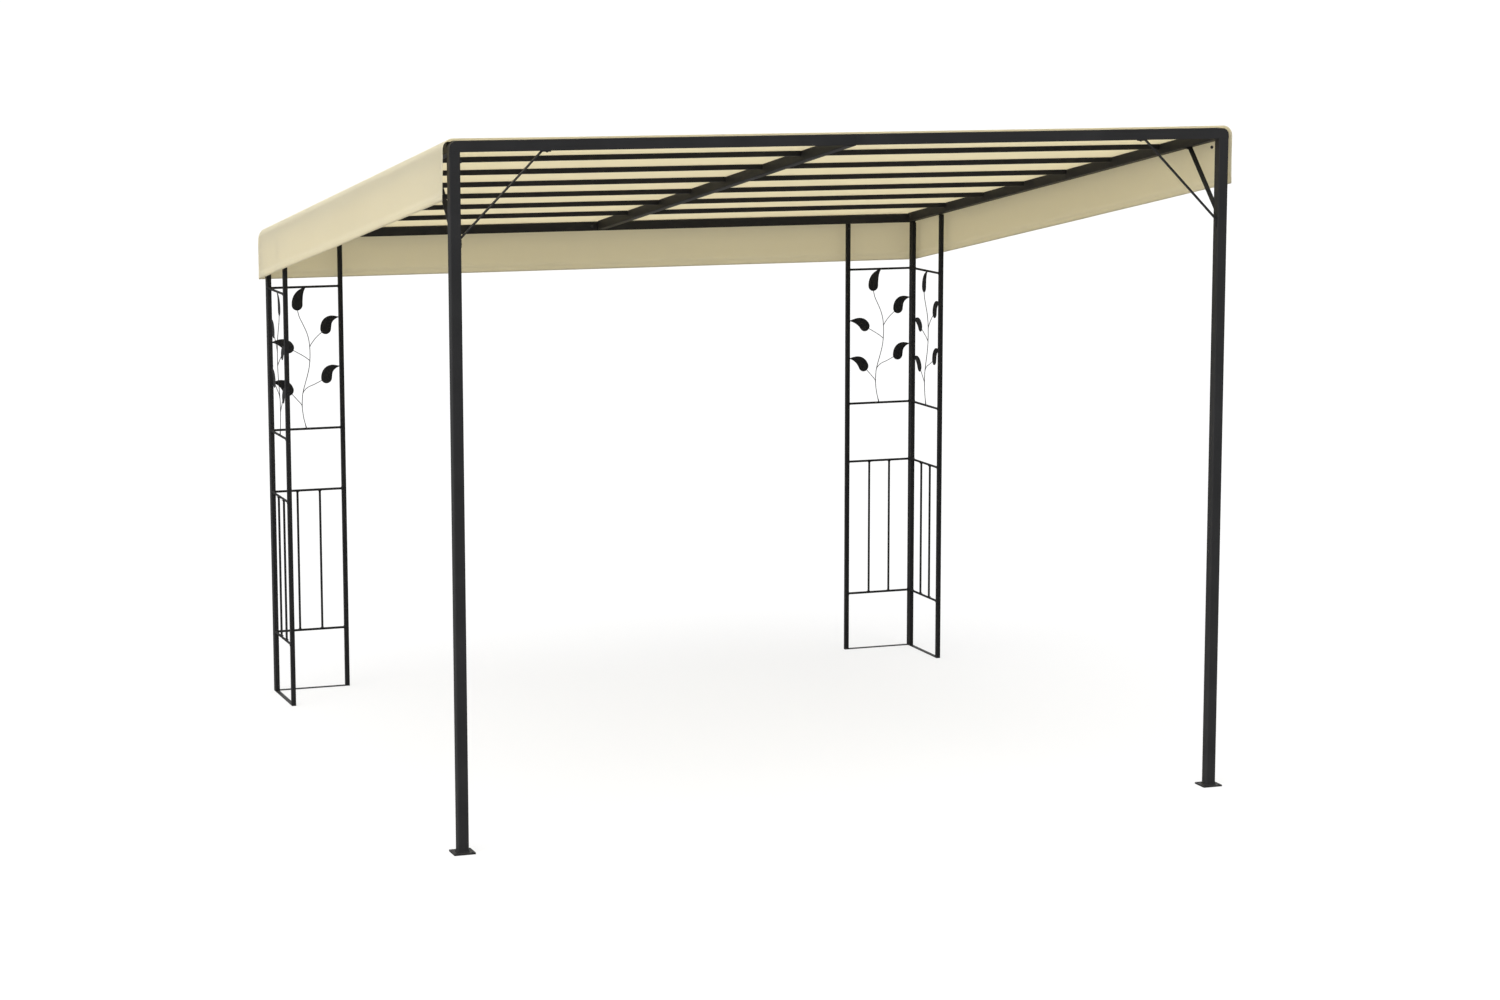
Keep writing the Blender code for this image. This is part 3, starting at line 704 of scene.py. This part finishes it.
bm = bmesh.new()
inside = POST_X - H
for sx in (-1, 1):
    # the post joint, on the inner face
    for dz in (-0.045, 0.045):
        screw(bm, (sx * inside, FRONT_Y, POST_JOINT + dz), (-sx, 0, 0), 0.0045, 0.0022)
    # the high beam on its post, seen from behind
    screw(bm, (sx * (POST_X - 0.030 + H - 0.019), FRONT_Y + H, FRONT_TOP - H - 0.052), (0, 1, 0), 0.0045, 0.0022)
    # side beam ends
    for y in (FRONT_Y + H + 0.030, REAR_Y - H - 0.030):
        screw(bm, (sx * inside, y, roof(y) - DEEP / 2), (-sx, 0, 0), 0.0045, 0.0022)
    # trellis uprights into the beams
    for y, z in ((REAR_Y, REAR_TOP - TUBE - 0.022), (SIDE_FRONT_Y, roof(SIDE_FRONT_Y) - DEEP - 0.026)):
        screw(bm, (sx * (COLUMN_X - S), y - (0.0 if y < REAR_Y else 0.0), z), (-sx, 0, 0), 0.0032, 0.0016)
    screw(bm, (sx * (COLUMN_X - PANEL), REAR_Y - S, REAR_TOP - TUBE - 0.022), (0, -1, 0), 0.0032, 0.0016)
    for z in (1.40, 0.98, 0.42):  # the two panels of a column, screwed at the corner
        screw(bm, (sx * (COLUMN_X - S), SIDE_CORNER_Y, z), (-sx, 0, 0), 0.0030, 0.0015)
for x in (-0.045, 0.045):  # beam joints
    screw(bm, (x, FRONT_Y + H, FRONT_TOP - H), (0, 1, 0), 0.0045, 0.0022)
    screw(bm, (x, REAR_Y - H, REAR_TOP - H), (0, -1, 0), 0.0045, 0.0022)
add("joint_screws", bm, SCREW, 40)


def brace_pads():
    """The ends of the braces, flattened on to the post and beam, each with
    its screw."""
    bm = bmesh.new()
    heads = bmesh.new()

    def plate(low, high):
        got = bmesh.ops.create_cube(bm, size=1.0)["verts"]
        low, high = Vector(low), Vector(high)
        for v in got:
            v.co = Vector((
                (low + high)[i] / 2 + (high - low)[i] * v.co[i] for i in range(3)
            ))
        edges = {e for v in got for e in v.link_edges}
        bmesh.ops.bevel(bm, geom=list(edges), offset=0.0009, segments=2, profile=0.5, affect="EDGES")

    for sx in (-1, 1):
        under = FRONT_TOP - TUBE - GAP
        inner = sx * (POST_X - H - GAP)
        run = 0.294
        # on the post, below the brace
        x0, x1 = sorted((inner, inner - sx * 0.0035))
        plate((x0, FRONT_Y - S, under - run - 0.030), (x1, FRONT_Y + S, under - run - 0.001))
        screw(heads, (inner - sx * 0.0035, FRONT_Y, under - run - 0.018), (-sx, 0, 0), 0.0042, 0.0022)
        # under the high beam
        xa, xb = sorted((inner - sx * (run + 0.001), inner - sx * (run + 0.030)))
        plate((xa, FRONT_Y - S, under - 0.0035), (xb, FRONT_Y + S, under))
        screw(heads, (inner - sx * (run + 0.018), FRONT_Y, under - 0.0035), (0, 0, -1), 0.0042, 0.0022)
        # side brace on the post
        y0 = FRONT_Y + H + GAP
        y1 = y0 + 0.231
        top = roof(y1) - DEEP - GAP * 2
        plate((sx * POST_X - S, y0, top - 0.231 - 0.030), (sx * POST_X + S, y0 + 0.0035, top - 0.231 - 0.001))
        screw(heads, (sx * POST_X, y0 + 0.0035, top - 0.231 - 0.018), (0, 1, 0), 0.0042, 0.0022)
        # side brace under the side beam, which slopes
        zb = roof(y1 + 0.016) - DEEP - GAP
        before = len(bm.verts)
        plate((sx * POST_X - S, y1 + 0.001, zb - 0.0035), (sx * POST_X + S, y1 + 0.030, zb))
        for v in list(bm.verts)[before:]:
            v.co.z -= SLOPE * (v.co.y - (y1 + 0.016))
        screw(heads, (sx * POST_X, y1 + 0.018, roof(y1 + 0.018) - DEEP - GAP - 0.0037),
              (0, -SLOPE, -1), 0.0042, 0.0022)
    add("brace_end_tabs", bm, STEEL, 35)
    add("brace_screws", heads, SCREW, 40)


brace_pads()


def purlin_welds():
    """Small weld beads where a purlin meets the side beam and the rafter."""
    bm = bmesh.new()
    for sx in (-1, 1):
        for end, way in ((sx * (H + GAP), sx), (sx * (POST_X - H - GAP), -sx)):
            for i in range(PURLIN_LINES):
                y = FRONT_Y + PURLIN_FIRST + PURLIN_STEP * i
                for face, dz in ((-1, 0), (1, 0)):
                    yy = y + face * (S + 0.0006)
                    z_top = roof(yy) - 0.002
                    z_low = roof(yy) - SMALL_DEEP + 0.001
                    count = 7
                    pts = [Vector((end + way * 0.0008, yy, z_top + (z_low - z_top) * k / (count - 1)))
                           for k in range(count)]
                    radii = [0.0014 + 0.0004 * math.sin(k * 2.4 + i) for k in range(count)]
                    radii[0] = radii[-1] = 0.0006
                    sweep(bm, pts, radii, 8)
    # base plates under the posts
    for sx in (-1, 1):
        cx, cy, z = sx * POST_X, FRONT_Y, 0.0062
        for a, b in (((-1, -1), (1, -1)), ((1, -1), (1, 1)), ((1, 1), (-1, 1)), ((-1, 1), (-1, -1))):
            p = Vector((cx + a[0] * (H + 0.0008), cy + a[1] * (H + 0.0008), z))
            q = Vector((cx + b[0] * (H + 0.0008), cy + b[1] * (H + 0.0008), z))
            count = 14
            pts = [p.lerp(q, k / (count - 1)) for k in range(count)]
            radii = [0.0017 + 0.00035 * math.sin(k * 2.1) for k in range(count)]
            sweep(bm, pts, radii, 8)
    add("weld_beads", bm, STEEL, 60)


purlin_welds()

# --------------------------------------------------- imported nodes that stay
for name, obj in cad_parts.items():
    mat = STEEL
    if "foot_strip" in name or name.startswith("base_plate"):
        mat = FOOT
    elif "upright" in name:
        mat = WIREWORK
    if obj.material_slots:
        for slot in obj.material_slots:
            slot.material = mat
    else:
        obj.data.materials.append(mat)

# ---------------------------------------------------- floor, light, camera
def floor_material():
    mat = bpy.data.materials.new("studio_floor")
    tree, nodes, links = nodes_of(mat)
    out = nodes.new("ShaderNodeOutputMaterial")
    bsdf = nodes.new("ShaderNodeBsdfDiffuse")
    path = nodes.new("ShaderNodeLightPath")
    mix = nodes.new("ShaderNodeMix")
    mix.data_type = "RGBA"
    mix.inputs["A"].default_value = (0.27, 0.27, 0.268, 1)
    mix.inputs["B"].default_value = (0.25, 0.25, 0.25, 1)
    links.new(path.outputs["Is Camera Ray"], mix.inputs["Factor"])
    links.new(mix.outputs["Result"], bsdf.inputs["Color"])
    glow = nodes.new("ShaderNodeEmission")
    lift = nodes.new("ShaderNodeMath")
    lift.operation = "MULTIPLY"
    lift.inputs[1].default_value = 0.70
    links.new(path.outputs["Is Camera Ray"], lift.inputs[0])
    links.new(lift.outputs[0], glow.inputs["Strength"])
    both = nodes.new("ShaderNodeAddShader")
    links.new(bsdf.outputs[0], both.inputs[0])
    links.new(glow.outputs[0], both.inputs[1])
    links.new(both.outputs[0], out.inputs["Surface"])
    return mat


mesh = bpy.data.meshes.new("floor")
bm = bmesh.new()
bmesh.ops.create_grid(bm, x_segments=2, y_segments=2, size=900)
bm.to_mesh(mesh)
bm.free()
floor = bpy.data.objects.new("floor", mesh)
bpy.context.scene.collection.objects.link(floor)
floor.location.z = -0.0006
mesh.materials.append(floor_material())

world = bpy.data.worlds.new("studio")
bpy.context.scene.world = world
world.use_nodes = True
wt = world.node_tree
wt.nodes.clear()
w_out = wt.nodes.new("ShaderNodeOutputWorld")
back = wt.nodes.new("ShaderNodeBackground")
coord = wt.nodes.new("ShaderNodeTexCoord")
wsep = wt.nodes.new("ShaderNodeSeparateXYZ")
wt.links.new(coord.outputs["Generated"], wsep.inputs[0])
dome = wt.nodes.new("ShaderNodeMapRange")
dome.inputs["From Min"].default_value = 0.0
dome.inputs["From Max"].default_value = 1.0
dome.inputs["To Min"].default_value = 0.45
dome.inputs["To Max"].default_value = 0.80
wt.links.new(wsep.outputs["Z"], dome.inputs["Value"])
wpath = wt.nodes.new("ShaderNodeLightPath")
wmix = wt.nodes.new("ShaderNodeMix")
wmix.data_type = "FLOAT"
wt.links.new(wpath.outputs["Is Camera Ray"], wmix.inputs["Factor"])
wt.links.new(dome.outputs["Result"], wmix.inputs["A"])
wmix.inputs["B"].default_value = 1.0
wt.links.new(wmix.outputs["Result"], back.inputs["Strength"])
back.inputs["Color"].default_value = (1, 1, 1, 1)
wt.links.new(back.outputs[0], w_out.inputs["Surface"])


def sun(name, towards, strength, angle):
    data = bpy.data.lights.new(name, "SUN")
    data.energy = strength
    data.angle = math.radians(angle)
    obj = bpy.data.objects.new(name, data)
    bpy.context.scene.collection.objects.link(obj)
    obj.rotation_euler = Vector(towards).to_track_quat("-Z", "Y").to_euler()
    return obj


sun("key", (0.24, 0.46, -1.0), 2.0, 60)
sun("fill_left", (1.0, 0.40, -0.20), 2.25, 70)
sun("fill_back", (-0.6, -0.8, -0.35), 0.55, 70)

cam_data = bpy.data.cameras.new("camera")
cam = bpy.data.objects.new("camera", cam_data)
bpy.context.scene.collection.objects.link(cam)
cam_data.sensor_width = 36.0
cam_data.lens = 3414.0 * 36.0 / 1500.0
cam_data.clip_start = 0.1
cam_data.clip_end = 3000.0
cam.location = (-4.54, -12.69, 3.02)
cam.rotation_euler = (math.radians(90 - 8.70), 0.0, math.radians(-20.29))
bpy.context.scene.camera = cam
bpy.context.scene.view_settings.view_transform = "Standard"
